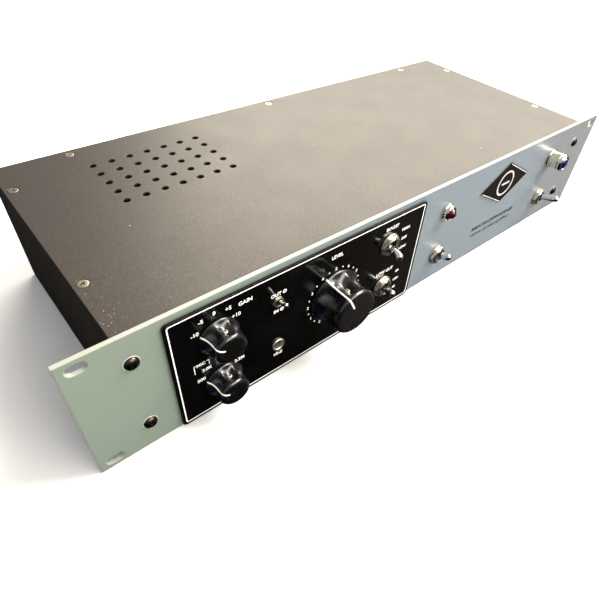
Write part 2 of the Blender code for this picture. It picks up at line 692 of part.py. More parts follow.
def mains_inlet(finish):
    """Snap-in inlet with three blades in a shrouded well."""
    half_x, half_z = 16.0 * MM, 14.0 * MM
    inner_face = CHASSIS_REAR + GAP
    inlet = panel_block("mains_inlet", (INLET_X - half_x, INLET_X + half_x),
                        (inner_face, CONNECTOR_FACE), (CONNECTOR_Z - half_z, CONNECTOR_Z + half_z),
                        finish)
    body_x, body_z = INLET_CUTOUT[0] / 2 - GAP, INLET_CUTOUT[1] / 2 - GAP
    body = panel_block("inlet_body", (INLET_X - body_x, INLET_X + body_x),
                       (CHASSIS_REAR - 22 * MM, inner_face + FLANGE_PLATE / 2),
                       (CONNECTOR_Z - body_z, CONNECTOR_Z + body_z))
    well_x, well_z = 11.8 * MM, 8.2 * MM
    floor = CONNECTOR_FACE - 15 * MM
    well = panel_block("inlet_well", (INLET_X - well_x, INLET_X + well_x),
                       (floor, CONNECTOR_FACE + THROUGH),
                       (CONNECTOR_Z - well_z, CONNECTOR_Z + well_z))
    combine(inlet, [body], "UNION")
    combine(inlet, [well])
    for i, (x, z) in enumerate(((-7.0 * MM, -1.4 * MM), (0.0, 1.4 * MM), (7.0 * MM, -1.4 * MM))):
        blade = panel_block(f"inlet_blade_{i}", (INLET_X + x - 1.0 * MM, INLET_X + x + 1.0 * MM),
                            (floor - 1 * MM, CONNECTOR_FACE - 2 * MM),
                            (CONNECTOR_Z + z - 2.0 * MM, CONNECTOR_Z + z + 2.0 * MM))
        combine(inlet, [blade], "UNION")


# ---------------------------------------------------------------- inside the chassis

FLOOR = SHEET + GAP
BOARD_X = (-150.0 * MM, 40.0 * MM)
BOARD_DEPTHS = (50.0 * MM, 165.0 * MM)
BOARD_TOP = 11.6 * MM
TUBE_R = 10.5 * MM
TUBE_DEPTH = 130.0 * MM
TUBE_X = (-135.0 * MM, -108.0 * MM)


def circuit_board(finish):
    """Board on four standoffs."""
    board = panel_block("circuit_board", BOARD_X, BOARD_DEPTHS, (BOARD_TOP - 1.6 * MM, BOARD_TOP),
                        finish)
    inset = 6.0 * MM
    posts = []
    for i, x in enumerate((BOARD_X[0] + inset, BOARD_X[1] - inset)):
        for j, depth in enumerate((BOARD_DEPTHS[0] + inset, BOARD_DEPTHS[1] - inset)):
            posts.append(rod(f"standoff_{i}_{j}", 3.0 * MM, at(x, depth, 0),
                             BOARD_TOP - 0.8 * MM, FLOOR, segments=8, turn=(0, 0, 0)))
    combine(board, posts, "UNION")


def tubes(glass):
    """Two valves standing in the board behind the vents."""
    foot = BOARD_TOP + GAP
    profile = [(0, foot + 52 * MM), (1.6 * MM, foot + 49 * MM), (6.0 * MM, foot + 46 * MM),
               (TUBE_R, foot + 41 * MM), (TUBE_R, foot), (0, foot)]
    for name, x in zip(("input_tube", "output_tube"), TUBE_X):
        turned(name, profile, at(x, TUBE_DEPTH, 0), glass, 16, (0, 0, 0))


def transformer(name, x, depth, size, coil, finish):
    """Laminated core with the coil standing out of its two sides."""
    half_x, half_y, high = size[0] / 2, size[1] / 2, size[2]
    core = panel_block(name, (x - half_x, x + half_x), (depth - half_y, depth + half_y),
                       (FLOOR, FLOOR + high), finish)
    inset = high * 0.16
    winding = panel_block(f"winding_{name}", (x - half_x * 0.66, x + half_x * 0.66),
                          (depth - half_y - coil, depth + half_y + coil),
                          (FLOOR + inset, FLOOR + high - inset))
    combine(core, [winding], "UNION")


def electronics(board_finish, glass, core_finish):
    circuit_board(board_finish)
    tubes(glass)
    transformer("power_transformer", -185.0 * MM, 95.0 * MM,
                (44 * MM, 34 * MM, 56 * MM), 9 * MM, core_finish)
    transformer("output_transformer", 80.0 * MM, 140.0 * MM,
                (48 * MM, 30 * MM, 42 * MM), 7 * MM, core_finish)
    transformer("input_transformer", 165.0 * MM, 110.0 * MM,
                (34 * MM, 24 * MM, 30 * MM), 5 * MM, core_finish)


def build():
    start()
    black_metal = material("black_painted_steel", (0.02, 0.02, 0.02), 0.45, 0.2)
    silver = material("satin_aluminium", (0.62, 0.66, 0.64), 0.4, 0.9)
    gloss = material("gloss_black_plate", (0.006, 0.006, 0.006), 0.08)
    bakelite = material("black_bakelite", (0.008, 0.008, 0.009), 0.12)
    chrome = material("chrome", (0.85, 0.85, 0.86), 0.08, 1.0)
    nickel = material("nickel", (0.7, 0.68, 0.64), 0.25, 1.0)
    black_steel = material("black_steel_screws", (0.015, 0.015, 0.015), 0.35, 0.5)
    silver_screw = material("zinc_screws", (0.65, 0.65, 0.66), 0.3, 1.0)
    red = material("red_lens", (0.25, 0.0, 0.01), 0.05)
    blue = material("blue_lens", (0.01, 0.0, 0.3), 0.05)
    plastic = material("black_plastic", (0.02, 0.02, 0.02), 0.5)
    board = material("board_green", (0.02, 0.12, 0.05), 0.4)
    glass = material("clear_glass", (0.8, 0.8, 0.8), 0.05)
    iron = material("lamination_iron", (0.12, 0.11, 0.1), 0.5, 0.6)

    front_panel(silver)
    control_plate(gloss)
    badge(gloss)
    chassis_tray(black_metal)
    top_lid(black_metal)
    rear_panel(black_metal)
    lid_screws(silver_screw)
    panel_screws(black_steel)
    rotary_controls(bakelite, nickel)
    large_toggles(plastic, chrome)
    polarity_toggle(plastic, chrome)
    instrument_jack(plastic, nickel)
    lamps(chrome, red, blue)
    rear_connectors(plastic, nickel)
    electronics(board, glass, iron)


build()
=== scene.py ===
"""Looks, light and camera for a two-unit microphone preamp.  Metres, +Z up, front towards -Y."""
import json
import math

import bmesh
import bpy
from mathutils import Matrix, Vector


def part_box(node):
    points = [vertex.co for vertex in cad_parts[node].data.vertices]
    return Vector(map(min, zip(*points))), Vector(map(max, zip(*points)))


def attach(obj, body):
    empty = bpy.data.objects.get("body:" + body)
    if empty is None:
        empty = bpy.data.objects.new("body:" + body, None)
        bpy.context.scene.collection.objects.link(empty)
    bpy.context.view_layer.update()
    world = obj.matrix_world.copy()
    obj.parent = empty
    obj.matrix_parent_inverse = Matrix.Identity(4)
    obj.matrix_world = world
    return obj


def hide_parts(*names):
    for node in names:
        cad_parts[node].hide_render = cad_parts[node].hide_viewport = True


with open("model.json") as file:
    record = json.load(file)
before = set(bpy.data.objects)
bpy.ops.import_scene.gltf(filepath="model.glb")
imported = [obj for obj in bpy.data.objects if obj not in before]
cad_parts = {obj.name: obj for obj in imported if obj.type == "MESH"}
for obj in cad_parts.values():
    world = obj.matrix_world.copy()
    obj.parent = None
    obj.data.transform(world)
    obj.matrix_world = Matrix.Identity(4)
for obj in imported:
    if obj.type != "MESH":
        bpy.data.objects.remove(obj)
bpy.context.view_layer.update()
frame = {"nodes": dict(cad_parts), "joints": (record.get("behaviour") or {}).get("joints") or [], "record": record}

MM = 0.001
CHASSIS = "chassis"
JOINTS = {joint["child"]: joint for joint in frame["joints"]}
PANEL_LOW, PANEL_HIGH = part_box("front_panel")
PLATE_LOW, PLATE_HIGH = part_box("control_plate")
LID_LOW, LID_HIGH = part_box("top_lid")
PANEL_FACE = PANEL_LOW.y
PLATE_FACE = PLATE_LOW.y
REAR_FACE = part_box("rear_panel")[1].y
PRINT = 0.04 * MM                   # thickness of printed legends

ROTARIES = ("gain", "impedance", "level")
LARGE_TOGGLES = ("boost", "low_cut", "phantom", "power")
POINTER_DEG = {"gain": 152.0, "impedance": 152.0, "level": 116.5}     # at rest, anticlockwise from right


def centre(node):
    low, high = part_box(node)
    return (low + high) / 2


def pivot(body):
    return Vector(JOINTS[body]["pos_m"])


# ---------------------------------------------------------------- placing pieces

def facing(x, y, z):
    """Placement whose own +Z comes out of the front and whose own +Y is up."""
    return Matrix.Translation((x, y, z)) @ Matrix.Rotation(math.radians(90), 4, "X")


def rearward(x, y, z):
    """Placement whose own +Z comes out of the rear and whose own +Y is up."""
    return (Matrix.Translation((x, y, z)) @ Matrix.Rotation(math.radians(180), 4, "Z")
            @ Matrix.Rotation(math.radians(90), 4, "X"))


def add(name, mesh, place, look, body=CHASSIS, stands_for=(), angle=30):
    """Adds a mesh as a piece that rides on a body, and hides the CAD nodes it stands for."""
    mesh.materials.clear()
    mesh.materials.append(look)
    mesh.shade_smooth()
    mesh.set_sharp_from_angle(angle=math.radians(angle))
    made = bpy.data.objects.new(name, mesh)
    bpy.context.scene.collection.objects.link(made)
    made.matrix_world = place
    normals = made.modifiers.new("normals", "WEIGHTED_NORMAL")
    normals.keep_sharp = True
    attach(made, body)
    if stands_for:
        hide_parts(*stands_for)


def to_mesh(made, name):
    bmesh.ops.recalc_face_normals(made, faces=made.faces)
    mesh = bpy.data.meshes.new(name)
    made.to_mesh(mesh)
    made.free()
    return mesh


# ---------------------------------------------------------------- outlines

def arc(x, y, radius, start_deg, end_deg, steps):
    step = math.radians(end_deg - start_deg) / steps
    start = math.radians(start_deg)
    return [(x + radius * math.cos(start + step * i), y + radius * math.sin(start + step * i))
            for i in range(steps + 1)]


def circle(x, y, radius, steps=40):
    return arc(x, y, radius, 0, 360, steps)[:-1]


def slot(x, y, length, width):
    half = (length - width) / 2
    return arc(x + half, y, width / 2, -90, 90, 16) + arc(x - half, y, width / 2, 90, 270, 16)


def rounded_box(left, right, bottom, top, corner, steps=8):
    return (arc(right - corner, bottom + corner, corner, -90, 0, steps)
            + arc(right - corner, top - corner, corner, 0, 90, steps)
            + arc(left + corner, top - corner, corner, 90, 180, steps)
            + arc(left + corner, bottom + corner, corner, 180, 270, steps))


def hexagon(x, y, across_flats):
    return arc(x, y, across_flats / math.sqrt(3), -60, 240, 5)


def fillet(profile, radius, steps=3):
    """The profile with every corner between its two ends rounded off."""
    made = [profile[0]]
    for before, corner, after in zip(profile, profile[1:], profile[2:]):
        here = Vector(corner)
        back, on = Vector(before) - here, Vector(after) - here
        reach = min(radius, 0.4 * back.length, 0.4 * on.length)
        first, last = here + back.normalized() * reach, here + on.normalized() * reach
        for i in range(steps + 1):
            t = i / steps
            point = first * (1 - t) ** 2 + here * 2 * t * (1 - t) + last * t ** 2
            made.append(tuple(point))
    return made + [profile[-1]]


# ---------------------------------------------------------------- solids

def lathe_mesh(name, profile, segments=64):
    """Surface of revolution about +Z of a (radius, height) profile."""
    made = bmesh.new()
    corners = [made.verts.new((radius, 0, height)) for radius, height in profile]
    edges = [made.edges.new(pair) for pair in zip(corners, corners[1:])]
    bmesh.ops.spin(made, geom=corners + edges, axis=(0, 0, 1), cent=(0, 0, 0),
                   angle=math.tau, steps=segments)
    bmesh.ops.remove_doubles(made, verts=made.verts, dist=0.002 * MM)
    return to_mesh(made, name)


def plate_mesh(name, outline, holes, thickness, bevel, steps=2):
    """Plate from local z 0 up to its thickness, with rounded edges, from an outline and holes."""
    curve = bpy.data.curves.new(name, "CURVE")
    curve.dimensions = "2D"
    curve.fill_mode = "BOTH"
    curve.extrude = thickness / 2 - bevel
    curve.bevel_depth = bevel
    curve.bevel_resolution = steps
    curve.offset = -bevel
    for points in [outline] + [hole[::-1] for hole in holes]:
        spline = curve.splines.new("POLY")
        spline.points.add(len(points) - 1)
        for point, (x, y) in zip(spline.points, points):
            point.co = (x, y, 0, 1)
        spline.use_cyclic_u = True
    holder = bpy.data.objects.new(name, curve)
    bpy.context.scene.collection.objects.link(holder)
    graph = bpy.context.evaluated_depsgraph_get()
    mesh = bpy.data.meshes.new_from_object(holder.evaluated_get(graph))
    bpy.data.objects.remove(holder, do_unlink=True)
    made = bmesh.new()
    made.from_mesh(mesh)
    bmesh.ops.remove_doubles(made, verts=made.verts, dist=0.001 * MM)
    bmesh.ops.translate(made, vec=(0, 0, thickness / 2), verts=made.verts)
    return to_mesh(made, name)


def cut(mesh, cutters, name):
    """The mesh with the cutters taken out of it."""
    holder = bpy.data.objects.new(name, mesh)
    bpy.context.scene.collection.objects.link(holder)
    tools = []
    for i, cutter in enumerate(cutters):
        tool = bpy.data.objects.new(f"{name}_cutter_{i}", cutter)
        bpy.context.scene.collection.objects.link(tool)
        step = holder.modifiers.new("cut", "BOOLEAN")
        step.operation, step.object = "DIFFERENCE", tool
        tools.append(tool)
    graph = bpy.context.evaluated_depsgraph_get()
    made = bpy.data.meshes.new_from_object(holder.evaluated_get(graph))
    for used in [holder] + tools:
        bpy.data.objects.remove(used, do_unlink=True)
    made.name = name
    return made


def mark(name, outline, holes, y, look):
    """A flat printed mark on a face that looks forwards."""
    mesh = plate_mesh(name, outline, holes, PRINT, PRINT / 4, 0)
    add(name, mesh, facing(0, y, 0), look, angle=15)


# ---------------------------------------------------------------- materials

class Look:
    """A Principled material under construction, textured in the object's own metres."""

    def __init__(self, name, colour, roughness, metallic=0.0, **sockets):
        self.material = bpy.data.materials.new(name)
        self.material.use_nodes = True
        self.nodes = self.material.node_tree.nodes
        self.links = self.material.node_tree.links
        self.shader = self.nodes["Principled BSDF"]
        self.set("Base Color", (*colour, 1))
        self.set("Roughness", roughness)
        self.set("Metallic", metallic)
        for socket, value in sockets.items():
            self.set(socket.replace("_", " "), value)
        self.colour = colour
        self.roughness = roughness
        self.where = self.nodes.new("ShaderNodeTexCoord").outputs["Object"]
        self.last_colour = None

    def set(self, socket, value):
        self.shader.inputs[socket].default_value = value

    def noise(self, scale, detail):
        texture = self.nodes.new("ShaderNodeTexNoise")
        texture.inputs["Scale"].default_value = scale
        texture.inputs["Detail"].default_value = detail
        self.links.new(self.where, texture.inputs["Vector"])
        return texture.outputs["Fac"]

    def specks(self, scale, size):
        """1 on scattered small dots and 0 between them."""
        cells = self.nodes.new("ShaderNodeTexVoronoi")
        cells.inputs["Scale"].default_value = scale
        self.links.new(self.where, cells.inputs["Vector"])
        return self.span(cells.outputs["Distance"], size * 0.6, size, 1, 0)

    def span(self, value, low, high, to_low, to_high):
        """The value carried from one range to another, and held at its ends."""
        node = self.nodes.new("ShaderNodeMapRange")
        for socket, number in zip(("From Min", "From Max", "To Min", "To Max"),
                                  (low, high, to_low, to_high)):
            node.inputs[socket].default_value = number
        self.links.new(value, node.inputs["Value"])
        return node.outputs["Result"]

    def times(self, first, second):
        node = self.nodes.new("ShaderNodeMath")
        node.operation = "MULTIPLY"
        self.links.new(first, node.inputs[0])
        self.links.new(second, node.inputs[1])
        return node.outputs[0]

    def tint(self, share, colour):
        """Blends the colour so far towards another one by a share."""
        node = self.nodes.new("ShaderNodeMix")
        node.data_type = "RGBA"
        self.links.new(share, node.inputs["Factor"])
        if self.last_colour is None:
            node.inputs["A"].default_value = (*self.colour, 1)
        else:
            self.links.new(self.last_colour, node.inputs["A"])
        node.inputs["B"].default_value = (*colour, 1)
        self.last_colour = node.outputs["Result"]
        self.links.new(self.last_colour, self.shader.inputs["Base Color"])
        return self

    def rough(self, value, spread):
        low, high = self.roughness - spread, self.roughness + spread
        self.links.new(self.span(value, 0.35, 0.65, low, high), self.shader.inputs["Roughness"])
        return self

    def bump(self, value, depth, strength):
        node = self.nodes.new("ShaderNodeBump")
        node.inputs["Distance"].default_value = depth
        node.inputs["Strength"].default_value = strength
        self.links.new(value, node.inputs["Height"])
        self.links.new(node.outputs["Normal"], self.shader.inputs["Normal"])
        return self

    def part(self, vector, axis):
        parts = self.nodes.new("ShaderNodeSeparateXYZ")
        self.links.new(vector, parts.inputs["Vector"])
        return parts.outputs[axis]

    def edge_on(self):
        """1 on the walls of a sheet and 0 on its two faces, which look along its own Z."""
        normal = self.nodes.new("ShaderNodeTexCoord").outputs["Normal"]
        size = self.nodes.new("ShaderNodeMath")
        size.operation = "ABSOLUTE"
        self.links.new(self.part(normal, "Z"), size.inputs[0])
        return self.span(size.outputs[0], 0.45, 0.8, 1, 0)


def painted_steel(name, sheet):
    """Dark fine-textured paint with pale speckle and a little dust.

    A flat sheet is also browner at its left, a painted shade, with scuffs towards its front left corner.
    """
    look = Look(name, (0.042, 0.036, 0.029), 0.40, 0.25)
    grain = look.noise(1100, 3)
    look.tint(look.span(grain, 0.42, 0.72, 0, 0.6), (0.095, 0.084, 0.070))
    look.tint(look.span(look.noise(3, 2), 0.35, 0.75, 0, 0.25), (0.03, 0.026, 0.022))
    dust = look.times(look.specks(60, 0.035), look.span(look.noise(14, 2), 0.55, 0.65, 0, 1))
    look.tint(dust, (0.75, 0.72, 0.66))
    if sheet:
        across = look.part(look.where, "X")
        # painted shade: a browner tint over the left end of the sheet
        look.tint(look.span(across, -0.17, -0.24, 0, 0.5), (0.052, 0.034, 0.033))
        corner = look.times(look.span(across, -0.23, -0.15, 1, 0),
                            look.span(look.part(look.where, "Y"), -0.01, -0.07, 0, 1))
        patches = look.span(look.noise(45, 3), 0.48, 0.6, 0, 1)
        look.tint(look.times(look.times(look.specks(420, 0.16), patches), corner),
                  (0.55, 0.52, 0.47))
    look.rough(look.noise(30, 4), 0.02)
    return look.bump(grain, 0.03 * MM, 0.35).material


def panel_metal():
    """Satin painted aluminium with bare edges, tinted greener at its left and bluer at its right by painted light.
    """
    look = Look("satin_panel", (0.198, 0.245, 0.195), 0.36, 0.1, Specular_IOR_Level=0.35)
    across = look.part(look.where, "X")
    # painted light: the lamps' tint across the panel, greener at the left, bluer and then greyer towards the right
    look.tint(look.span(across, -0.19, 0.02, 0, 1), (0.190, 0.226, 0.258))
    look.tint(look.span(across, 0.13, 0.21, 0, 1), (0.183, 0.190, 0.205))
    look.tint(look.span(look.noise(10, 3), 0.4, 0.7, 0, 0.10), (0.165, 0.195, 0.20))
    look.tint(look.span(look.noise(1500, 3), 0.4, 0.7, 0, 0.12), (0.27, 0.31, 0.33))
    look.tint(look.edge_on(), (0.40, 0.41, 0.36))
    return look.rough(look.noise(400, 4), 0.03).material


def gloss_black(name, colour, roughness, scale, specular, coat):
    """Polished black with faint haze and fine scuffs."""
    look = Look(name, colour, roughness, Specular_IOR_Level=specular, Coat_Weight=coat,
                Coat_Roughness=0.05)
    look.tint(look.span(look.noise(scale, 6), 0.45, 0.8, 0, 0.5), (0.005, 0.005, 0.005))
    look.tint(look.specks(scale * 5, 0.03), (0.12, 0.12, 0.11))
    look.rough(look.noise(scale * 2, 5), 0.03)
    return look.bump(look.noise(scale * 12, 3), 0.002 * MM, 0.2).material


def metal(name, colour, roughness):
    """Bare or plated metal with darker clouds and fine smudges."""
    look = Look(name, colour, roughness, 1.0)
    darker = tuple(part * 0.72 for part in colour)
    look.tint(look.span(look.noise(420, 5), 0.45, 0.75, 0, 0.6), darker)
    look.rough(look.noise(700, 4), 0.05)
    return look.bump(look.noise(2400, 2), 0.006 * MM, 0.25).material


def mottled(name, colour, roughness, **sockets):
    """Any plain stuff with faint paler mottling and a slightly uneven surface."""
    look = Look(name, colour, roughness, **sockets)
    lighter = tuple(min(1, part * 1.5 + 0.01) for part in colour)
    look.tint(look.span(look.noise(600, 4), 0.45, 0.75, 0, 0.5), lighter)
    look.rough(look.noise(300, 3), min(0.06, roughness * 0.5))
    return look.bump(look.noise(1800, 3), 0.01 * MM, 0.4).material


def ink(name, colour):
    """Screen print, a little thin in places."""
    look = Look(name, colour, 0.5)
    look.tint(look.span(look.noise(2500, 3), 0.4, 0.8, 0, 0.25), tuple(c * 0.7 for c in colour))
    return look.rough(look.noise(1500, 2), 0.1).material


def jewel(name, colour, deep):
    """Coloured lens, darker in patches."""
    look = Look(name, colour, 0.06, IOR=1.5, Transmission_Weight=0.35, Coat_Weight=0.6,
                Coat_Roughness=0.03)
    look.tint(look.span(look.noise(300, 2), 0.35, 0.7, 0, 0.8), deep)
    return look.rough(look.noise(500, 3), 0.03).material


PAINT = painted_steel("fine_textured_paint", False)
LID_PAINT = painted_steel("fine_textured_lid_paint", True)
PANEL = panel_metal()
PLATE = gloss_black("gloss_plate", (0.0015, 0.0015, 0.0015), 0.10, 40, 0.30, 0.0)
BAKELITE = gloss_black("polished_bakelite", (0.003, 0.003, 0.003), 0.26, 90, 1.0, 0.4)
CHROME = metal("polished_chrome", (0.93, 0.90, 0.86), 0.13)
WARM_CHROME = metal("warm_chrome", (0.96, 0.87, 0.72), 0.18)
NICKEL = metal("nickel_plate", (0.92, 0.84, 0.70), 0.42)
ZINC = metal("aged_zinc_plate", (0.40, 0.34, 0.27), 0.38)
BLACK_OXIDE = metal("black_oxide", (0.085, 0.072, 0.058), 0.30)
# pale silver for the badge's ring and bar, and also for painted highlights on the badge edges and screw rims
SILVER_PRINT_AND_HIGHLIGHT = mottled("silver_foil_and_painted_highlight", (0.70, 0.70, 0.71), 0.35, Metallic=0.35)
WHITE_INK = ink("white_ink", (0.95, 0.95, 0.93))
DARK_INK = ink("dark_ink", (0.012, 0.012, 0.014))
RED_LENS = jewel("red_lens", (0.11, 0.0015, 0.008), (0.03, 0.0, 0.003))
BLUE_LENS = jewel("blue_lens", (0.012, 0.005, 0.20), (0.004, 0.002, 0.07))
BLACK_PLASTIC = mottled("black_moulding", (0.018, 0.018, 0.019), 0.45)
BOARD = mottled("fibreglass_board", (0.02, 0.13, 0.05), 0.35)
GLASS = mottled("valve_glass", (0.75, 0.78, 0.77), 0.07, Transmission_Weight=0.9, IOR=1.45)
CORE = mottled("varnished_core", (0.06, 0.055, 0.05), 0.5)

SLOT_LOOKS = {
    "silver_panel": PANEL, "black_plate": PLATE, "badge_plate": PLATE, "black_steel": PAINT,
    "bakelite": BAKELITE, "nickel": NICKEL, "chrome": CHROME, "black_plastic": BLACK_PLASTIC,
    "red_lens": RED_LENS, "blue_lens": BLUE_LENS, "black_screw": BLACK_OXIDE,
    "zinc_screw": ZINC, "board_green": BOARD, "tube_glass": GLASS, "lamination": CORE,
}


def dress_cad_nodes():
    """Gives every CAD node its look, and rounds the edges of the boxy ones that stay."""
    for subpart in frame["record"]["subparts"]:
        node = frame["nodes"][subpart["node"]]
        node.data.materials.clear()
        node.data.materials.append(SLOT_LOOKS[subpart["material_slot"]])
    for name in ("chassis_tray", "rear_panel", "mains_inlet", "input_connector",
                 "output_connector", "power_transformer", "output_transformer",
                 "input_transformer", "jack_case"):
        node = frame["nodes"][name]
        weld = node.modifiers.new("weld", "WELD")
        weld.merge_threshold = 0.01 * MM
        edges = node.modifiers.new("edges", "BEVEL")
        edges.width = 0.35 * MM
        edges.segments = 2
        edges.limit_method = "ANGLE"
        edges.angle_limit = math.radians(50)


# ---------------------------------------------------------------- panels

HOLE_R = {"rotary": 4.9 * MM, "toggle": 6.2 * MM, "mini": 3.0 * MM, "jack": 4.3 * MM,
          "red": 5.0 * MM, "blue": 6.8 * MM, "screw": 2.1 * MM}
PANEL_SCREWS = tuple(f"panel_screw_{level}_{side}" for level in ("lower", "upper")
                     for side in ("left", "right"))
LID_SCREWS = tuple(name for name in frame["nodes"] if name.startswith("lid_screw_"))


def shared_holes():
    """Holes that run through both the control plate and the panel."""
    holes = [(pivot(f"{name}_control"), HOLE_R["rotary"]) for name in ROTARIES]
    holes += [(pivot(f"{name}_toggle"), HOLE_R["toggle"]) for name in LARGE_TOGGLES[:2]]
    holes.append((pivot("polarity_toggle"), HOLE_R["mini"]))
    holes.append((centre("jack_ferrule"), HOLE_R["jack"]))
    return [circle(place.x, place.z, radius) for place, radius in holes]


def front_panel():
    holes = shared_holes()
    extra = [(pivot(f"{name}_toggle"), HOLE_R["toggle"]) for name in LARGE_TOGGLES[2:]]
    extra += [(centre("phantom_lamp_bezel"), HOLE_R["red"]),
              (centre("power_lamp_bezel"), HOLE_R["blue"])]
    extra += [(centre(name), HOLE_R["screw"]) for name in PANEL_SCREWS]
    holes += [circle(place.x, place.z, radius) for place, radius in extra]
    for opening in frame["record"]["physics"]["openings"]:
        if opening["name"].startswith("rack_slot"):
            low, high = opening["box_m"]
            holes.append(slot((low[0] + high[0]) / 2, (low[2] + high[2]) / 2,
                              10.0 * MM, 6.4 * MM))
    outline = [(PANEL_LOW.x, PANEL_LOW.z), (PANEL_HIGH.x, PANEL_LOW.z),
               (PANEL_HIGH.x, PANEL_HIGH.z), (PANEL_LOW.x, PANEL_HIGH.z)]
    mesh = plate_mesh("panel", outline, holes, PANEL_HIGH.y - PANEL_LOW.y, 0.45 * MM)
    add("panel_front", mesh, facing(0, PANEL_HIGH.y, 0), PANEL, CHASSIS, ["front_panel"], 15)


def control_plate():
    outline = rounded_box(PLATE_LOW.x, PLATE_HIGH.x, PLATE_LOW.z, PLATE_HIGH.z, 3.0 * MM)
    mesh = plate_mesh("plate", outline, shared_holes(), PLATE_HIGH.y - PLATE_LOW.y, 0.3 * MM)
    add("plate_front", mesh, facing(0, PLATE_HIGH.y, 0), PLATE, CHASSIS, ["control_plate"], 15)
    inset, width, corner = 2.0 * MM, 0.7 * MM, 1.6 * MM
    edges = (PLATE_LOW.x + inset, PLATE_HIGH.x - inset, PLATE_LOW.z + inset,
             PLATE_HIGH.z - 1.3 * MM)
    inner = (edges[0] + width, edges[1] - width, edges[2] + width, edges[3] - width)
    mark("plate_border_line", rounded_box(*edges, corner),
         [rounded_box(*inner, corner - width / 2)], PLATE_FACE, WHITE_INK)


def badge():
    """Black diamond with a plain ring and a bar, and bright strips along two of its edges that are painted
    highlights.
    """
    low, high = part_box("badge")
    hub = Vector(((low.x + high.x) / 2, (low.z + high.z) / 2))
    half_x, half_z = (high.x - low.x) / 2, (high.z - low.z) / 2
    corners = [Vector((hub.x, hub.y - half_z)), Vector((hub.x + half_x, hub.y)),
               Vector((hub.x, hub.y + half_z)), Vector((hub.x - half_x, hub.y))]
    base = plate_mesh("badge_base", [tuple(c) for c in corners], [], high.y - low.y, 0.15 * MM)
    add("badge_base", base, facing(0, high.y, 0), PLATE, CHASSIS, ["badge"], 15)
    # painted highlights: pale strips on the two edges where the bevel catches the light
    for side, (first, last) in (("upper", (1, 2)), ("lower", (3, 0))):
        ends = [corners[first] * 0.97 + hub * 0.03, corners[last] * 0.97 + hub * 0.03]
        outline = ends + [end * 0.95 + hub * 0.05 for end in reversed(ends)]
        mark(f"badge_{side}_highlight_strip", [tuple(c) for c in outline], [], low.y, SILVER_PRINT_AND_HIGHLIGHT)
    mark("badge_ring", circle(hub.x, hub.y, 11.0 * MM), [circle(hub.x, hub.y, 9.3 * MM)], low.y,
         SILVER_PRINT_AND_HIGHLIGHT)
    mark("badge_bar", slot(hub.x, hub.y, 11.0 * MM, 1.8 * MM), [], low.y, SILVER_PRINT_AND_HIGHLIGHT)


def top_lid():
    screws = [centre(name) for name in LID_SCREWS]
    holes = [circle(place.x, place.y, 3.5 * MM, 32) for place in screws]
    columns, rows, pitch, radius = 7, 5, 12.7 * MM, 2.3 * MM
    first_x, first_y = -160.1 * MM, PANEL_FACE + 105.1 * MM
    for column in range(columns):
        for row in range(rows):
            holes.append(circle(first_x + column * pitch, first_y + row * pitch, radius, 28))
    outline = rounded_box(LID_LOW.x, LID_HIGH.x, LID_LOW.y, LID_HIGH.y, 0.8 * MM, 3)
    mesh = plate_mesh("lid", outline, holes, LID_HIGH.z - LID_LOW.z, 0.3 * MM)
    add("lid_sheet", mesh, Matrix.Translation((0, 0, LID_LOW.z)), LID_PAINT, CHASSIS,
        ["top_lid"], 15)


# ---------------------------------------------------------------- printing

def words(name, text, size, x, z, y, look, width=None, place=facing, heavy=0.0):
    """A legend centred on a point of a face, stretched to a width when one is given."""
    font = bpy.data.curves.new(name, "FONT")
    font.body = text
    font.size = size
    font.align_x, font.align_y = "CENTER", "CENTER"
    font.extrude = PRINT / 2
    font.offset = heavy
    font.resolution_u = 3
    font.materials.append(look)
    made = bpy.data.objects.new(name, font)
    bpy.context.scene.collection.objects.link(made)
    stretch = 1.0
    if width:
        bpy.context.view_layer.update()
        stretch = width / made.dimensions.x
    made.matrix_world = (place(x, y, z) @ Matrix.Translation((0, 0, PRINT / 2))
                         @ Matrix.Diagonal((stretch, 1, 1, 1)))
    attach(made, CHASSIS)


def around(hub, radius, angle_deg):
    angle = math.radians(angle_deg)
    return hub.x + radius * math.cos(angle), hub.z + radius * math.sin(angle)


def plate_legends():
    """White legends: name, text, place from the control's centre in millimetres, and size."""
    legends = (
        (pivot("gain_control"), (
            ("gain_minus_10", "-10", -13.5, 8.3, 3.6), ("gain_minus_5", "-5", -9.2, 15.3, 3.6),
            ("gain_0", "0", -1.3, 17.0, 3.6), ("gain_plus_5", "+5", 7.1, 15.6, 3.6),
            ("gain_plus_10", "+10", 11.4, 8.2, 3.6), ("gain", "GAIN", 17.6, 14.7, 3.7))),
        (pivot("impedance_control"), (
            ("mic", "MIC", -12.5, 21.8, 3.2), ("low", "2.0K", -9.4, 16.0, 3.2),
            ("lower", "500", -13.6, 9.2, 3.4), ("high", "2.2M", 11.3, 9.3, 3.4))),
        (pivot("polarity_toggle"), (
            ("out", "OUT \u00d8", 1.0, 4.9, 3.4), ("in", "IN \u00d8", 0.9, -8.0, 3.4))),
        (centre("jack_ferrule"), (("jack", "HI-Z", 0.3, -8.8, 3.4),)),
        (pivot("boost_toggle"), (
            ("boost", "BOOST", 0.8, 12.6, 3.6), ("boost_high", "HIGH", 14.9, 6.6, 3.1),
            ("boost_off", "OFF", 14.9, -1.2, 3.1), ("boost_low", "LOW", 14.9, -9.0, 3.1))),
        (pivot("low_cut_toggle"), (
            ("low_cut", "LOW CUT", 0.8, 12.6, 3.6), ("cut_80", "80", 14.9, 6.6, 3.1),
            ("cut_off", "OFF", 14.9, -1.2, 3.1), ("cut_40", "40", 14.9, -9.0, 3.1))),
    )
    for hub, group in legends:
        for name, text, x, z, size in group:
            words(f"legend_{name}", text, size * MM, hub.x + x * MM, hub.z + z * MM, PLATE_FACE,
                  WHITE_INK, heavy=0.07 * MM)


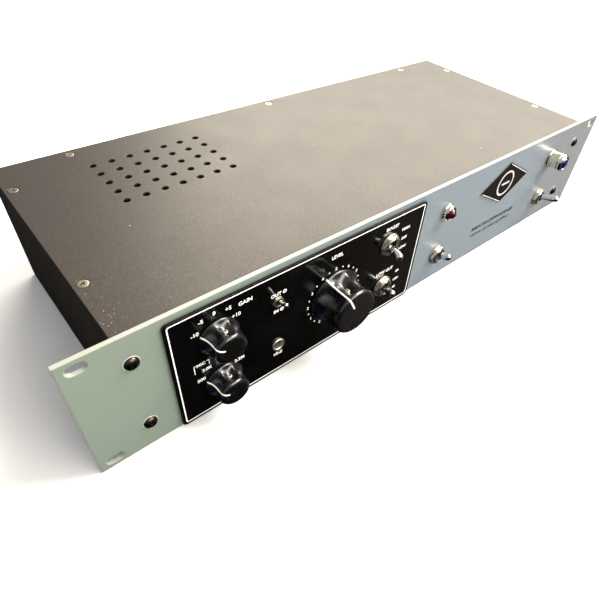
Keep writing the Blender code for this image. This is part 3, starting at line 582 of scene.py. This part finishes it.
def impedance_bracket():
    """Bracket over the two microphone settings, drawn as its two corners."""
    hub = pivot("impedance_control")
    top, width = hub.z + 22.9 * MM, 0.45 * MM
    for side, x, reach, drop in (("left", -16.9, 1.5, 6.6), ("right", -7.3, -1.7, 3.9)):
        corner = hub.x + x * MM
        end, inner = corner + reach * MM, corner + math.copysign(width, reach)
        bottom = top - drop * MM
        outline = [(corner, bottom), (corner, top), (end, top), (end, top - width),
                   (inner, top - width), (inner, bottom)]
        mark(f"legend_bracket_{side}", outline if reach < 0 else outline[::-1], [], PLATE_FACE,
             WHITE_INK)


def level_dial():
    """Numbers 0 to 10 clockwise, 30 degrees apart, with a dot at each half step."""
    hub = pivot("level_control") + Vector((-0.6, 0, 0.3)) * MM
    radius, first_deg, half_step_deg = 21.4 * MM, 240, 15
    for step in range(21):
        x, z = around(hub, radius, first_deg - half_step_deg * step)
        if step % 2:
            mark(f"dial_dot_{step}", circle(x, z, 0.55 * MM, 16), [], PLATE_FACE, WHITE_INK)
        else:
            words(f"dial_number_{step // 2}", str(step // 2), 3.2 * MM, x, z, PLATE_FACE,
                  WHITE_INK, heavy=0.07 * MM)
    words("legend_level", "LEVEL", 3.6 * MM, hub.x, hub.z + 31.4 * MM, PLATE_FACE, WHITE_INK,
          heavy=0.07 * MM)


def panel_legends():
    place = centre("badge")
    words("legend_kind", "MICROPHONE", 4.9 * MM, place.x + 2 * MM, place.z - 35.5 * MM,
          PANEL_FACE, DARK_INK, 60 * MM, heavy=0.16 * MM)
    words("legend_class", "valve preamplifier", 4.0 * MM, place.x + 1 * MM,
          place.z - 41.8 * MM, PANEL_FACE, DARK_INK, 58.6 * MM, heavy=0.10 * MM)


def rear_legends():
    for name, text in (("input_connector", "INPUT"), ("output_connector", "OUTPUT"),
                       ("mains_inlet", "MAINS")):
        place = centre(name)
        words(f"legend_{name}", text, 4.0 * MM, place.x, place.z + 22 * MM, REAR_FACE,
              WHITE_INK, place=rearward)


# ---------------------------------------------------------------- knobs

# Sections of the knobs in millimetres: height, radius at the ridges, depth of the flutes.
SMALL_KNOB = ((2.2, 12.2, 0.0), (2.8, 12.2, 0.0), (3.3, 11.9, 0.1), (4.4, 11.0, 1.2),
              (5.8, 10.5, 2.0), (7.6, 10.1, 2.5), (10.4, 9.9, 2.4), (12.2, 9.8, 1.4),
              (13.4, 9.6, 0.3), (14.3, 9.2, 0.0), (15.0, 8.5, 0.0), (15.4, 7.6, 0.0),
              (15.5, 6.8, 0.0))
LEVEL_KNOB = ((2.2, 19.4, 0.0), (2.9, 19.4, 0.0), (3.6, 18.9, 0.3), (4.8, 17.9, 1.7),
              (6.8, 17.0, 3.2), (10.0, 16.4, 4.2), (15.0, 16.0, 4.0), (18.4, 16.1, 2.2),
              (20.0, 16.2, 0.5), (21.2, 16.1, 0.0), (22.2, 15.7, 0.0), (22.8, 14.9, 0.0),
              (22.92, 14.0, 0.0))
FLUTES = 8


def smooth_sections(sections, between=4):
    """Catmull-Rom samples through (height, ridge radius, flute depth) sections, in metres."""
    points = [Vector(s) * MM for s in sections]
    points = [points[0]] + points + [points[-1]]
    made = []
    for a, b, c, d in zip(points, points[1:], points[2:], points[3:]):
        for i in range(between):
            t = i / between
            made.append(0.5 * (2 * b + (c - a) * t + (2 * a - 5 * b + 4 * c - d) * t ** 2
                               + (3 * b - a - 3 * c + d) * t ** 3))
    made.append(points[-2])
    return made


def flute_share(angle):
    """0 on a ridge and 1 in the middle of a flute, with a narrow rounded ridge."""
    ease = 0.18
    wave = math.sin(angle * FLUTES / 2)
    return (math.sqrt(wave * wave + ease * ease) - ease) / (math.sqrt(1 + ease * ease) - ease)


def knob_mesh(name, sections):
    """Fluted body, open at its bore and closed over its face."""
    count, bore = FLUTES * 20, 3.35 * MM
    made = bmesh.new()
    loops = []
    for height, ridge, depth in [(sections[0].x, bore, 0.0)] + [tuple(s) for s in sections]:
        loop = []
        for i in range(count):
            angle = math.tau * i / count
            radius = ridge - max(0.0, depth) * flute_share(angle)
            loop.append(made.verts.new((radius * math.cos(angle), radius * math.sin(angle),
                                        height)))
        loops.append(loop)
    for share in (0.8, 0.5):
        loops.append([made.verts.new((v.co.x * share, v.co.y * share, v.co.z))
                      for v in loops[-1]])
    for lower, upper in zip(loops, loops[1:]):
        for i in range(count):
            j = (i + 1) % count
            made.faces.new((lower[i], lower[j], upper[j], upper[i]))
    made.faces.new(loops[-1])
    return to_mesh(made, name)


def pointer_mesh(name, sections, width, inner):
    """White line along a ridge and over the face to the inner radius."""
    lift = 0.06 * MM
    track = [(s.y + lift, s.x, max(0.0, s.z)) for s in sections]
    face = sections[-1]
    track += [(face.y + (inner - face.y) * share, face.x + lift, 0.0) for share in (0.3, 0.6, 1.0)]
    made = bmesh.new()
    rows = []
    for radius, height, depth in track:
        row = []
        for side in (-1, -0.5, 0, 0.5, 1):
            reach = radius - depth * flute_share(side * width / 2 / radius)
            row.append(made.verts.new((reach, side * width / 2, height)))
        rows.append(row)
    for lower, upper in zip(rows, rows[1:]):
        for i in range(4):
            made.faces.new((lower[i], lower[i + 1], upper[i + 1], upper[i]))
    return to_mesh(made, name)


def set_screw_mesh():
    """Grub screw's rim and its hexagon socket."""
    body = lathe_mesh("grub", fillet([(0, 0.35 * MM), (1.25 * MM, 0.35 * MM),
                                      (1.5 * MM, 0.1 * MM), (1.5 * MM, -2 * MM),
                                      (0, -2 * MM)], 0.1 * MM), 32)
    socket = plate_mesh("socket", hexagon(0, 0, 1.4 * MM), [], 3 * MM, 0.01 * MM, 0)
    socket.transform(Matrix.Translation((0, 0, -1.2 * MM)))
    return cut(body, [socket], "grub_screw")


def knobs():
    grub = set_screw_mesh()
    for name in ROTARIES:
        big = name == "level"
        sections = smooth_sections(LEVEL_KNOB if big else SMALL_KNOB)
        hub = pivot(f"{name}_control")
        turn = Matrix.Rotation(math.radians(POINTER_DEG[name]), 4, "Z")
        place = facing(hub.x, PANEL_FACE, hub.z) @ turn
        body = f"{name}_control"
        add(f"{name}_knob_fluted", knob_mesh(f"{name}_fluted", sections), place, BAKELITE, body,
            [f"{name}_knob"], 40)
        inner = (6.0 if big else 5.0) * MM
        add(f"{name}_pointer_line",
            pointer_mesh(f"{name}_line", sections, (1.1 if big else 0.95) * MM, inner), place,
            WHITE_INK, body, angle=60)
        flute_deg, height, radius = (-22.5, 13.5, 12.2) if big else (-67.5, 7.6, 7.6)
        seat = (place @ Matrix.Rotation(math.radians(flute_deg), 4, "Z")
                @ Matrix.Translation((radius * MM, 0, height * MM))
                @ Matrix.Rotation(math.radians(90), 4, "Y"))
        add(f"{name}_set_screw", grub.copy(), seat, NICKEL, body)


# ---------------------------------------------------------------- toggles, jack and lamps

def lever_profile(length, tip, neck, ball):
    """Bat handle from its tip down to its ball, along +Z."""
    crown = [(tip * math.sin(a), length - tip + tip * math.cos(a))
             for a in (math.radians(10 * i) for i in range(10))]
    return crown + [(tip * 0.99, length - 1.6 * tip), (tip * 0.96, length - 2.2 * tip),
                    (neck, ball * 3.1), (neck * 0.9, ball * 1.25), (ball * 0.9, ball * 0.5),
                    (ball, 0), (ball * 0.7, -ball * 0.7), (0, -ball)]


def middle_deg(body):
    """Joint angle halfway through a lever's throw, where it points straight out."""
    return sum(JOINTS[body]["range_deg"]) / 2


def lever(name, profile):
    body = f"{name}_toggle"
    tilt = Matrix.Rotation(math.radians(90 - middle_deg(body)), 4, "X")
    add(f"{name}_bat", lathe_mesh(f"{name}_bat", profile, 48),
        Matrix.Translation(pivot(body)) @ tilt, CHROME, body, [f"{name}_lever"], 40)


def lever_length(name):
    """Length from the pivot to the tip, from the CAD lever's box."""
    low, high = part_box(f"{name}_lever")
    body = f"{name}_toggle"
    tip = (high.x - low.x) / 2
    return (pivot(body).y - low.y - tip) / math.cos(math.radians(middle_deg(body))) + tip


def thread_profile(radius, mouth, bottom, top, pitch):
    """Bushing with turned threads outside and a plain bore."""
    made = [(mouth, bottom)]
    height = bottom
    while height + pitch < top:
        made += [(radius - 0.28 * MM, height), (radius, height + pitch / 2)]
        height += pitch
    return made + [(radius - 0.3 * MM, top - 0.15 * MM), (mouth + 0.35 * MM, top),
                   (mouth, top - 0.3 * MM), (mouth, bottom)]


def nut_mesh(name, across_flats, inner, thickness):
    """Hexagon nut with its corners turned off at both ends."""
    blank = plate_mesh(name, hexagon(0, 0, across_flats), [circle(0, 0, inner, 48)], thickness,
                       0.08 * MM, 1)
    corner = across_flats / math.sqrt(3)
    flat = across_flats / 2
    slope = (corner - flat) * 0.55
    cone = [(flat * 0.98, thickness + 1 * MM), (corner * 1.3, thickness + 1 * MM),
            (corner * 1.3, thickness - slope - 0.3 * (corner * 1.3 - corner)),
            (corner, thickness - slope), (flat * 0.98, thickness), (flat * 0.98, thickness + 1 * MM)]
    return cut(blank, [lathe_mesh("chamfer", cone, 64)], name)


def large_toggles():
    for name in LARGE_TOGGLES:
        hub = pivot(f"{name}_toggle")
        washer_low, washer_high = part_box(f"{name}_washer")
        nut_low, nut_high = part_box(f"{name}_nut")
        case_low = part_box(f"{name}_switch_case")[0]
        inner, outer = 6.2 * MM, (washer_high.x - washer_low.x) / 2
        thickness = washer_high.y - washer_low.y
        ring = fillet([(inner, 0), (inner, thickness * 0.55), (outer * 0.86, thickness * 0.55),
                       (outer * 0.90, thickness), (outer, thickness), (outer, 0), (inner, 0)],
                      0.15 * MM)
        add(f"{name}_dished_washer", lathe_mesh(f"{name}_ring", ring),
            facing(hub.x, washer_high.y, hub.z), NICKEL, CHASSIS, [f"{name}_washer"], 35)
        nut = nut_mesh(f"{name}_hex", nut_high.z - nut_low.z, inner, nut_high.y - nut_low.y)
        add(f"{name}_hexagon_nut", nut, facing(hub.x, nut_high.y, hub.z), NICKEL, CHASSIS,
            [f"{name}_nut"], 25)
        top = PANEL_HIGH.y - case_low.y
        thread = thread_profile(radius=6.02 * MM, mouth=5.12 * MM, bottom=top - 5 * MM,
                                top=top + 0.05 * MM, pitch=0.8 * MM)
        add(f"{name}_threaded_bushing", lathe_mesh(f"{name}_thread", thread),
            facing(hub.x, PANEL_HIGH.y, hub.z), CHROME, angle=25)
        opening = rounded_box(-2.7 * MM, 2.7 * MM, -5.15 * MM, 5.15 * MM, 2.65 * MM)
        cap = plate_mesh(f"{name}_cap", circle(0, 0, 5.35 * MM, 48), [opening], 0.6 * MM,
                         0.03 * MM, 1)
        add(f"{name}_slotted_cap", cap, facing(hub.x, PANEL_HIGH.y - top + 0.9 * MM, hub.z),
            CHROME, angle=25)
        lever(name, lever_profile(lever_length(name), tip=2.75 * MM, neck=2.35 * MM,
                                  ball=2.9 * MM))


def polarity_toggle():
    hub = pivot("polarity_toggle")
    low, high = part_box("polarity_nut")
    nut = nut_mesh("polarity_hex", high.z - low.z, 3.0 * MM, high.y - low.y)
    add("polarity_hexagon_nut", nut, facing(hub.x, high.y, hub.z), NICKEL, CHASSIS,
        ["polarity_nut"], 25)
    top = PANEL_HIGH.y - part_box("polarity_switch_case")[0].y
    thread = thread_profile(radius=2.85 * MM, mouth=2.3 * MM, bottom=top - 3.5 * MM,
                            top=top + 0.05 * MM, pitch=0.5 * MM)
    add("polarity_threaded_bushing", lathe_mesh("polarity_thread", thread),
        facing(hub.x, PANEL_HIGH.y, hub.z), NICKEL, angle=25)
    lever("polarity", lever_profile(lever_length("polarity"), tip=1.45 * MM, neck=0.85 * MM,
                                    ball=1.6 * MM))


def jack():
    low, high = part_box("jack_ferrule")
    hub = (low + high) / 2
    outer, bore, deep = (high.x - low.x) / 2, 3.25 * MM, high.y - low.y
    barrel, lip = 4.0 * MM, high.y - PLATE_FACE - 0.3 * MM
    ring = fillet([(bore, 0), (bore, deep - 0.5 * MM), (bore + 0.5 * MM, deep),
                   (outer - 0.4 * MM, deep), (outer, deep - 0.4 * MM),
                   (outer, high.y - PLATE_FACE + 0.3 * MM), (barrel, lip + 0.6 * MM),
                   (barrel, 0), (bore, 0)], 0.2 * MM)
    add("jack_ring", lathe_mesh("jack_ring", ring), facing(hub.x, high.y, hub.z), NICKEL,
        CHASSIS, ["jack_ferrule"])


def lamp_pieces():
    red = centre("phantom_lamp_bezel")
    bezel = fillet([(4.7, -12), (4.7, 0.3), (7.0, 0.3), (7.0, 1.2), (6.2, 1.9), (5.8, 3.4),
                    (5.3, 4.3), (4.7, 4.6), (4.5, 4.2), (4.5, 1.5), (3.0, 1.5), (3.0, -12),
                    (4.7, -12)], 0.2)
    bezel = [(r * MM, h * MM) for r, h in bezel]
    add("red_lamp_bezel", lathe_mesh("red_bezel", bezel), facing(red.x, PANEL_FACE, red.z),
        WARM_CHROME, CHASSIS, ["phantom_lamp_bezel"])
    dome = [(4.35 * MM * math.sin(math.radians(a)), (2.6 + 5.0 * math.cos(math.radians(a))) * MM)
            for a in range(0, 91, 9)]
    add("red_lamp_dome", lathe_mesh("red_dome", dome + [(4.35 * MM, 1.8 * MM), (0, 1.8 * MM)]),
        facing(red.x, PANEL_FACE, red.z), RED_LENS, CHASSIS, ["phantom_lamp_lens"])
    blue = centre("power_lamp_bezel")
    body = fillet([(6.5, -16), (6.5, 0.3), (8.4, 0.3), (8.4, 1.0), (7.5, 1.7), (7.5, 9.6),
                   (7.2, 9.9), (7.2, 10.3), (7.5, 10.6), (7.5, 11.8), (6.5, 13.4), (5.7, 13.6),
                   (5.45, 13.2), (5.45, 9.0), (4.0, 9.0), (4.0, -16), (6.5, -16)], 0.2)
    body = [(r * MM, h * MM) for r, h in body]
    add("blue_lamp_bezel", lathe_mesh("blue_bezel", body), facing(blue.x, PANEL_FACE, blue.z),
        WARM_CHROME, CHASSIS, ["power_lamp_bezel"])
    facets = [(0, 15.2), (2.4, 15.0), (4.3, 14.1), (5.25, 12.9), (5.25, 9.3), (0, 9.3)]
    cut_stone = lathe_mesh("blue_facets", [(r * MM, h * MM) for r, h in facets], 12)
    add("blue_lamp_jewel", cut_stone, facing(blue.x, PANEL_FACE, blue.z), BLUE_LENS, CHASSIS,
        ["power_lamp_lens"], 5)


# ---------------------------------------------------------------- screws

def cross_cutters(reach, width, depth):
    """Two bars that cut a Phillips recess into the top of a head at z 0."""
    cutters = []
    for turn in (0, 90):
        bar = bmesh.new()
        bmesh.ops.create_cube(bar, size=1.0)
        for corner in bar.verts:
            low = corner.co.z < 0
            corner.co.x *= reach * (0.9 if low else 2.0)
            corner.co.y *= width * (0.6 if low else 1.0)
            corner.co.z = -depth if low else 0.3 * MM
        bmesh.ops.rotate(bar, verts=bar.verts, matrix=Matrix.Rotation(math.radians(turn), 3, "Z"))
        cutters.append(to_mesh(bar, "cross_bar"))
    return cutters


def lid_screws():
    """Countersunk cross-head screws, each turned differently."""
    head = fillet([(0, 0.05 * MM), (2.0 * MM, 0.03 * MM), (3.15 * MM, -0.05 * MM),
                   (3.15 * MM, -0.3 * MM), (1.3 * MM, -2.0 * MM), (1.3 * MM, -7.0 * MM),
                   (0, -7.0 * MM)], 0.12 * MM)
    for i, name in enumerate(LID_SCREWS):
        low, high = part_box(name)
        mesh = cut(lathe_mesh(name, head, 40), cross_cutters(1.7 * MM, 0.75 * MM, 1.5 * MM),
                   f"{name}_head")
        place = Matrix.Translation(((low.x + high.x) / 2, (low.y + high.y) / 2,
                                    high.z - 0.05 * MM))
        add(f"{name}_cross", mesh, place @ Matrix.Rotation(math.radians(23 + 37 * i), 4, "Z"),
            ZINC, CHASSIS, [name], 35)


def panel_screws():
    """Button heads with a hexagon socket, each in a narrow pale rim: the bare edge of its countersink, partly a
    painted highlight.
    """
    radius, rise = 4.0 * MM, 2.4 * MM
    dome = [(radius * math.sin(math.radians(a)), rise * math.cos(math.radians(a)))
            for a in range(0, 91, 9)]
    profile = dome + [(1.8 * MM, 0), (1.8 * MM, -9 * MM), (0, -9 * MM)]
    for i, name in enumerate(PANEL_SCREWS):
        socket = plate_mesh("socket", hexagon(0, 0, 2.5 * MM), [], 3 * MM, 0.01 * MM, 0)
        socket.transform(Matrix.Translation((0, 0, 1.0 * MM)))
        mesh = cut(lathe_mesh(name, profile, 48), [socket], f"{name}_button")
        low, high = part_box(name)
        place = facing((low.x + high.x) / 2, low.y + rise, (low.z + high.z) / 2)
        add(f"{name}_button", mesh, place @ Matrix.Rotation(math.radians(17 * i), 4, "Z"),
            BLACK_OXIDE, CHASSIS, [name], 35)
        # bare countersink edge as a flat pale ring, partly a painted highlight of the lit edge
        rim = lathe_mesh(f"{name}_rim", [(3.95 * MM, 0), (4.5 * MM, 0), (4.4 * MM, 0.12 * MM),
                                         (3.95 * MM, 0.12 * MM), (3.95 * MM, 0)], 48)
        add(f"{name}_rim", rim, facing((low.x + high.x) / 2, PANEL_FACE, (low.z + high.z) / 2),
            SILVER_PRINT_AND_HIGHLIGHT)


# ---------------------------------------------------------------- stage

def floor():
    """Pale ground a hair under the object. Reflections leave it out, and see the sky instead."""
    half, level = 5.0, -0.5 * MM
    mesh = bpy.data.meshes.new("floor")
    mesh.from_pydata([(-half, -half, level), (half, -half, level), (half, half, level),
                      (-half, half, level)], [], [(0, 1, 2, 3)])
    mesh.materials.append(Look("pale_floor", (0.92, 0.92, 0.93), 0.8).material)
    made = bpy.data.objects.new("floor", mesh)
    bpy.context.scene.collection.objects.link(made)
    made.visible_glossy = False


def area_light(name, place, target, size, power, colour):
    light = bpy.data.lights.new(name, "AREA")
    light.shape = "RECTANGLE"
    light.size, light.size_y = size
    light.energy = power
    light.color = colour
    made = bpy.data.objects.new(name, light)
    bpy.context.scene.collection.objects.link(made)
    made.location = place
    made.rotation_euler = (Vector(target) - Vector(place)).to_track_quat("-Z", "Y").to_euler()


# Soft patches of sky, each over the ones before it: its direction, the cosines of the angles
# from that direction where it starts and where it is full, and its colour.
SKY_PATCHES = (
    ((1, 0, 0), 0.33, 0.90, (0.22, 0.18, 0.14)),                    # brown wall on the right
    ((0.6, 0.3, -0.74), 0.82, 0.97, (0.20, 0.13, 0.36)),            # violet, low on the right
    ((-0.80, -0.10, -0.60), 0.94, 0.99, (0.02, 0.025, 0.40)),       # blue, low on the left
    ((0, 0, 1), -0.02, 0.40, (0.42, 0.43, 0.45)),                   # grey upper half
    ((0.31, -0.62, 0.72), 0.78, 0.95, (2.4, 2.2, 1.85)),            # warm window above the front
)


def sky():
    """What the object is lit by and reflects. The background itself is plain white."""
    world = bpy.data.worlds.new("studio")
    world.use_nodes = True
    bpy.context.scene.world = world
    nodes, links = world.node_tree.nodes, world.node_tree.links
    where = nodes.new("ShaderNodeTexCoord").outputs["Generated"]
    so_far = nodes.new("ShaderNodeRGB").outputs["Color"]
    so_far.default_value = (0.002, 0.002, 0.002, 1)
    for direction, start, end, colour in SKY_PATCHES:
        toward = nodes.new("ShaderNodeVectorMath")
        toward.operation = "DOT_PRODUCT"
        toward.inputs[1].default_value = Vector(direction).normalized()
        share = nodes.new("ShaderNodeMapRange")
        share.interpolation_type = "SMOOTHSTEP"
        share.inputs["From Min"].default_value = start
        share.inputs["From Max"].default_value = end
        blend = nodes.new("ShaderNodeMix")
        blend.data_type = "RGBA"
        blend.inputs["B"].default_value = (*colour, 1)
        links.new(where, toward.inputs[0])
        links.new(toward.outputs["Value"], share.inputs["Value"])
        links.new(share.outputs["Result"], blend.inputs["Factor"])
        links.new(so_far, blend.inputs["A"])
        so_far = blend.outputs["Result"]
    plain = nodes.new("ShaderNodeMix")
    plain.data_type = "RGBA"
    plain.inputs["B"].default_value = (1, 1, 1, 1)
    links.new(nodes.new("ShaderNodeLightPath").outputs["Is Camera Ray"], plain.inputs["Factor"])
    links.new(so_far, plain.inputs["A"])
    links.new(plain.outputs["Result"], nodes["Background"].inputs["Color"])


def lighting():
    area_light("sheen", (1.45, 1.15, 1.42), (0.05, 0.05, 0.08), (2.4, 1.4), 81,
               (1.0, 0.92, 0.78))
    area_light("overhead", (0.9, -0.45, 1.2), (-0.05, -0.08, 0.05), (0.7, 0.7), 36,
               (1.0, 0.97, 0.90))
    area_light("front_fill", (0.49, -1.6, 1.26), (0, 0, 0.04), (1.5, 1.2), 19,
               (1.0, 0.98, 0.95))
    bpy.context.scene.view_settings.view_transform = "Standard"


def camera():
    """Close wide view from the front left and above, rolled slightly."""
    data = bpy.data.cameras.new("view")
    data.sensor_width = 36.0
    data.lens = 29.48
    data.shift_x, data.shift_y = -0.0479, 0.0042
    made = bpy.data.objects.new("view", data)
    bpy.context.scene.collection.objects.link(made)
    place, heading, pitch, roll = (-0.24687, -0.24594, 0.25733), 45.0, -43.66, 5.67
    made.matrix_world = (Matrix.Translation(place)
                         @ Matrix.Rotation(math.radians(-heading), 4, "Z")
                         @ Matrix.Rotation(math.radians(90 + pitch), 4, "X")
                         @ Matrix.Rotation(math.radians(roll), 4, "Z"))
    data.clip_start = 10 * MM
    bpy.context.scene.camera = made


camera()
dress_cad_nodes()
front_panel()
control_plate()
badge()
top_lid()
plate_legends()
impedance_bracket()
level_dial()
panel_legends()
rear_legends()
knobs()
large_toggles()
polarity_toggle()
jack()
lamp_pieces()
lid_screws()
panel_screws()
floor()
sky()
lighting()
